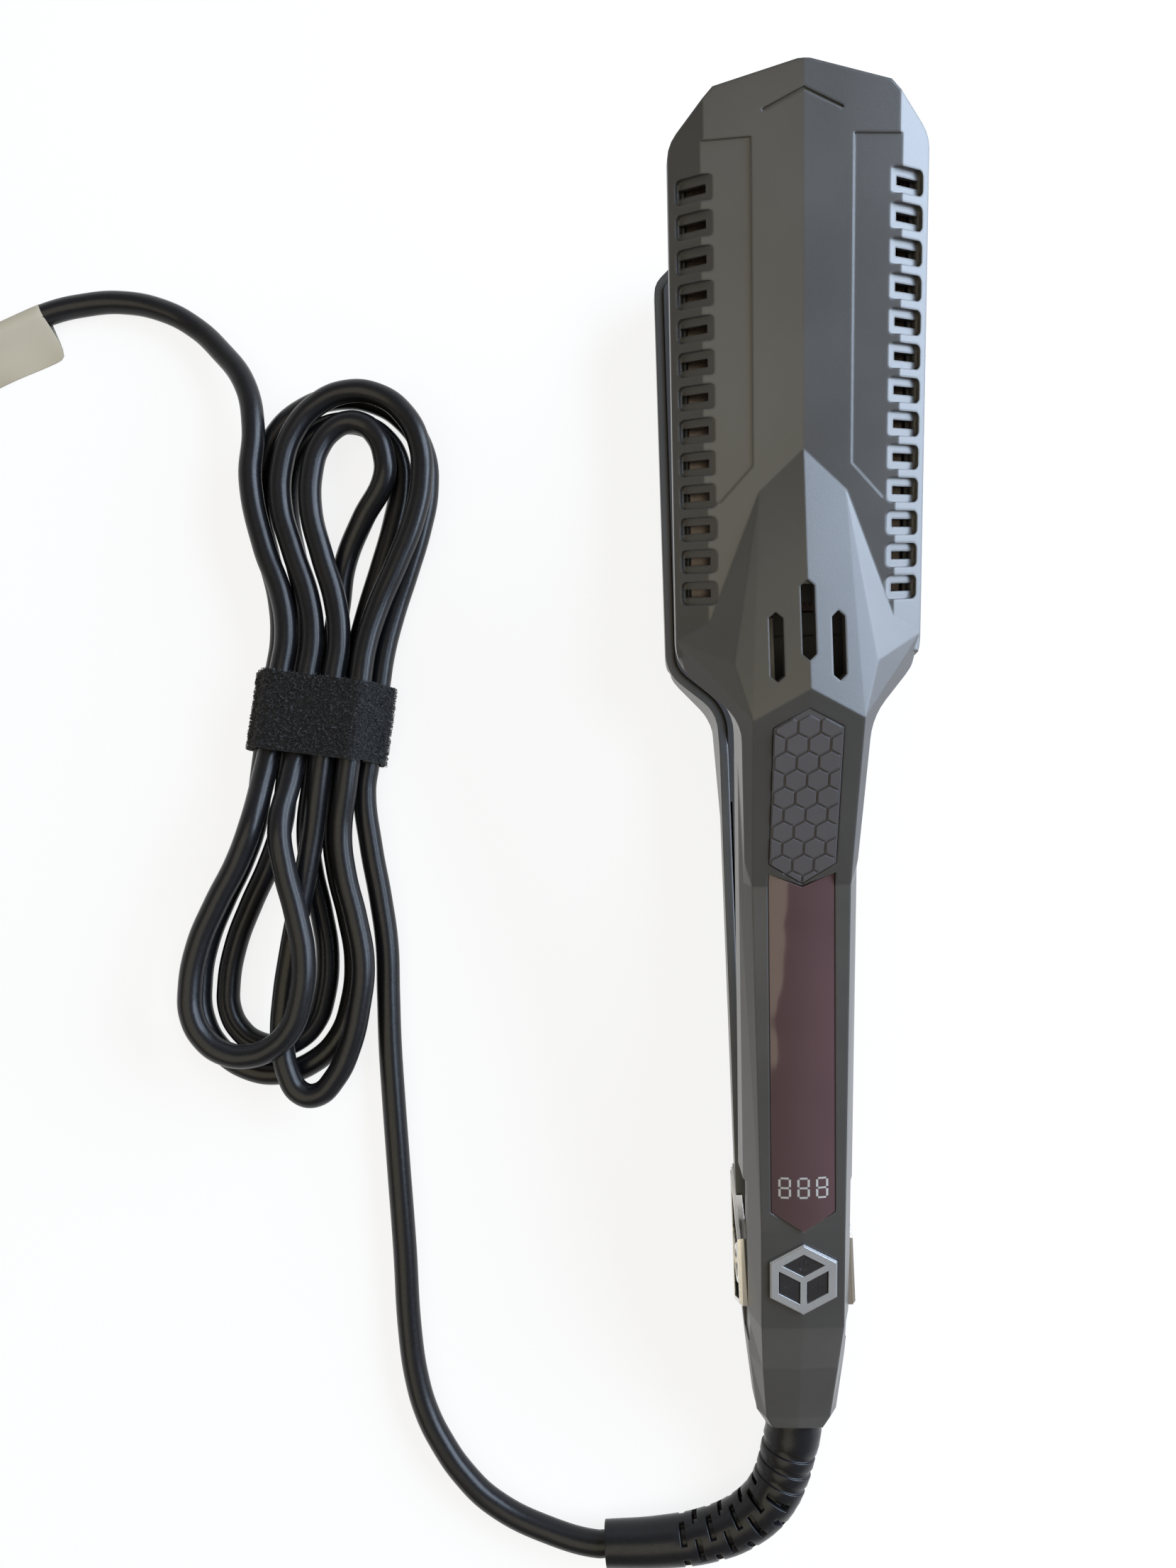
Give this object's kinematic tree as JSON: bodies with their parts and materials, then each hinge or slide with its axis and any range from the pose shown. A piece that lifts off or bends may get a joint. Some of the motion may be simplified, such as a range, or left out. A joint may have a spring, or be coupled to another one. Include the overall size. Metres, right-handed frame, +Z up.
{
  "type": "hair straightener",
  "caption": "Wide flat iron with floating heated plates, vented faceted casing, humped neck, display handle, swivelling cord tied in a hank, and a two-blade plug.",
  "frame": {"origin": "middle of the iron on the table, below it, without its cord", "axes": "+Y from the cord to the tip, +X to the right seen from above, +Z up"},
  "size_m": [0.3134, 0.3388, 0.0963],
  "materials": {
    "housing": "soft-touch matte charcoal",
    "inner_plastic": "matte black",
    "gloss_black": "piano black, clear window over the display",
    "grip": "matte, tiled",
    "silver": "satin silver lacquer",
    "button_black": "gloss with engraved icons",
    "digits": "unlit display segments",
    "chrome": "polished",
    "steel": "bright",
    "plate_ceramic": "smooth ceramic-coated plate",
    "heater_ceramic": "white",
    "aluminium": "plain",
    "silicone": "red silicone",
    "wire_cover": "white glass-fibre sleeve",
    "board": "green solder mask",
    "contact_brass": "bright",
    "block_plastic": "ivory",
    "cord_rubber": "satin black cord cover",
    "tie_fabric": "black hook-and-loop",
    "tag_paper": "cream, bare"
  },
  "bodies": {
    "lower_arm": {"lower_shell": "housing", "lower_inner_cover": "inner_plastic", "lower_head_frame": "inner_plastic", "lower_heat_shield": "aluminium", "lower_float_pads": "silicone", "lower_leads": "wire_cover", "lower_screws": "steel", "terminal_block": "block_plastic", "hinge_pin": "steel", "hinge_spring": "steel", "hinge_bezel_left": "chrome", "hinge_bezel_right": "chrome", "pivot_cap_left": "chrome", "pivot_cap_right": "chrome", "swivel_retainer": "steel"},
    "lower_float": {"lower_plate": "plate_ceramic", "lower_plate_carrier": "inner_plastic", "lower_heater": "heater_ceramic"},
    "upper_arm": {"upper_shell": "housing", "upper_inner_cover": "inner_plastic", "upper_head_frame": "inner_plastic", "upper_heat_shield": "aluminium", "upper_pads_rear": "silicone", "upper_pads_front": "silicone", "upper_leads": "wire_cover", "upper_screws": "steel", "grip_pad": "grip", "display_lens": "gloss_black", "display_panel": "inner_plastic", "display_digits": "digits", "button_frame": "silver", "control_board": "board", "tact_switches": "steel", "thermal_fuse": "aluminium"},
    "upper_float": {"upper_plate": "plate_ceramic", "upper_plate_carrier": "inner_plastic", "upper_heater": "heater_ceramic"},
    "power_button": {"power_button": "button_black"},
    "minus_button": {"minus_button": "button_black"},
    "plus_button": {"plus_button": "button_black"},
    "cord": {"swivel_core": "inner_plastic", "slip_rings": "contact_brass", "strain_relief": "cord_rubber", "cord_lead": "cord_rubber", "cord_hank": "cord_rubber", "hank_tie": "tie_fabric", "cord_tail": "cord_rubber", "cord_tag": "tag_paper", "plug_body": "cord_rubber", "plug_blades": "contact_brass"}
  },
  "joints": [
    {"name": "arm_hinge", "type": "hinge", "parent": "lower_arm", "child": "upper_arm", "pos_m": [0, -0.11138, 0.017], "axis": [-1, 0, 0], "range_deg": [0, 15], "stiffness_Nm_per_rad": 0.8, "springref_deg": -22.92, "deforming": ["hinge_spring"]},
    {"name": "lower_plate_float", "type": "slide", "parent": "lower_arm", "child": "lower_float", "axis": [0, 0, -1], "range_m": [0, 0.001], "stiffness_N_per_m": 2500, "springref_m": -0.001, "deforming": ["lower_float_pads"]},
    {"name": "upper_plate_float", "type": "slide", "parent": "upper_arm", "child": "upper_float", "axis": [0, -0.2588, 0.9659], "range_m": [0, 0.001], "stiffness_N_per_m": 2500, "springref_m": -0.001, "deforming": ["upper_pads_rear", "upper_pads_front"]},
    {"name": "power_press", "type": "slide", "parent": "upper_arm", "child": "power_button", "axis": [0, 0.2588, -0.9659], "range_m": [0, 0.00035], "stiffness_N_per_m": 1500, "springref_m": -0.0005},
    {"name": "minus_press", "type": "slide", "parent": "upper_arm", "child": "minus_button", "axis": [0, 0.2588, -0.9659], "range_m": [0, 0.00035], "stiffness_N_per_m": 1500, "springref_m": -0.0005},
    {"name": "plus_press", "type": "slide", "parent": "upper_arm", "child": "plus_button", "axis": [0, 0.2588, -0.9659], "range_m": [0, 0.00035], "stiffness_N_per_m": 1500, "springref_m": -0.0005},
    {"name": "cord_swivel", "type": "hinge", "parent": "lower_arm", "child": "cord", "pos_m": [0, -0.14938, 0.0084], "axis": [0, 1, 0], "continuous": true}
  ]
}
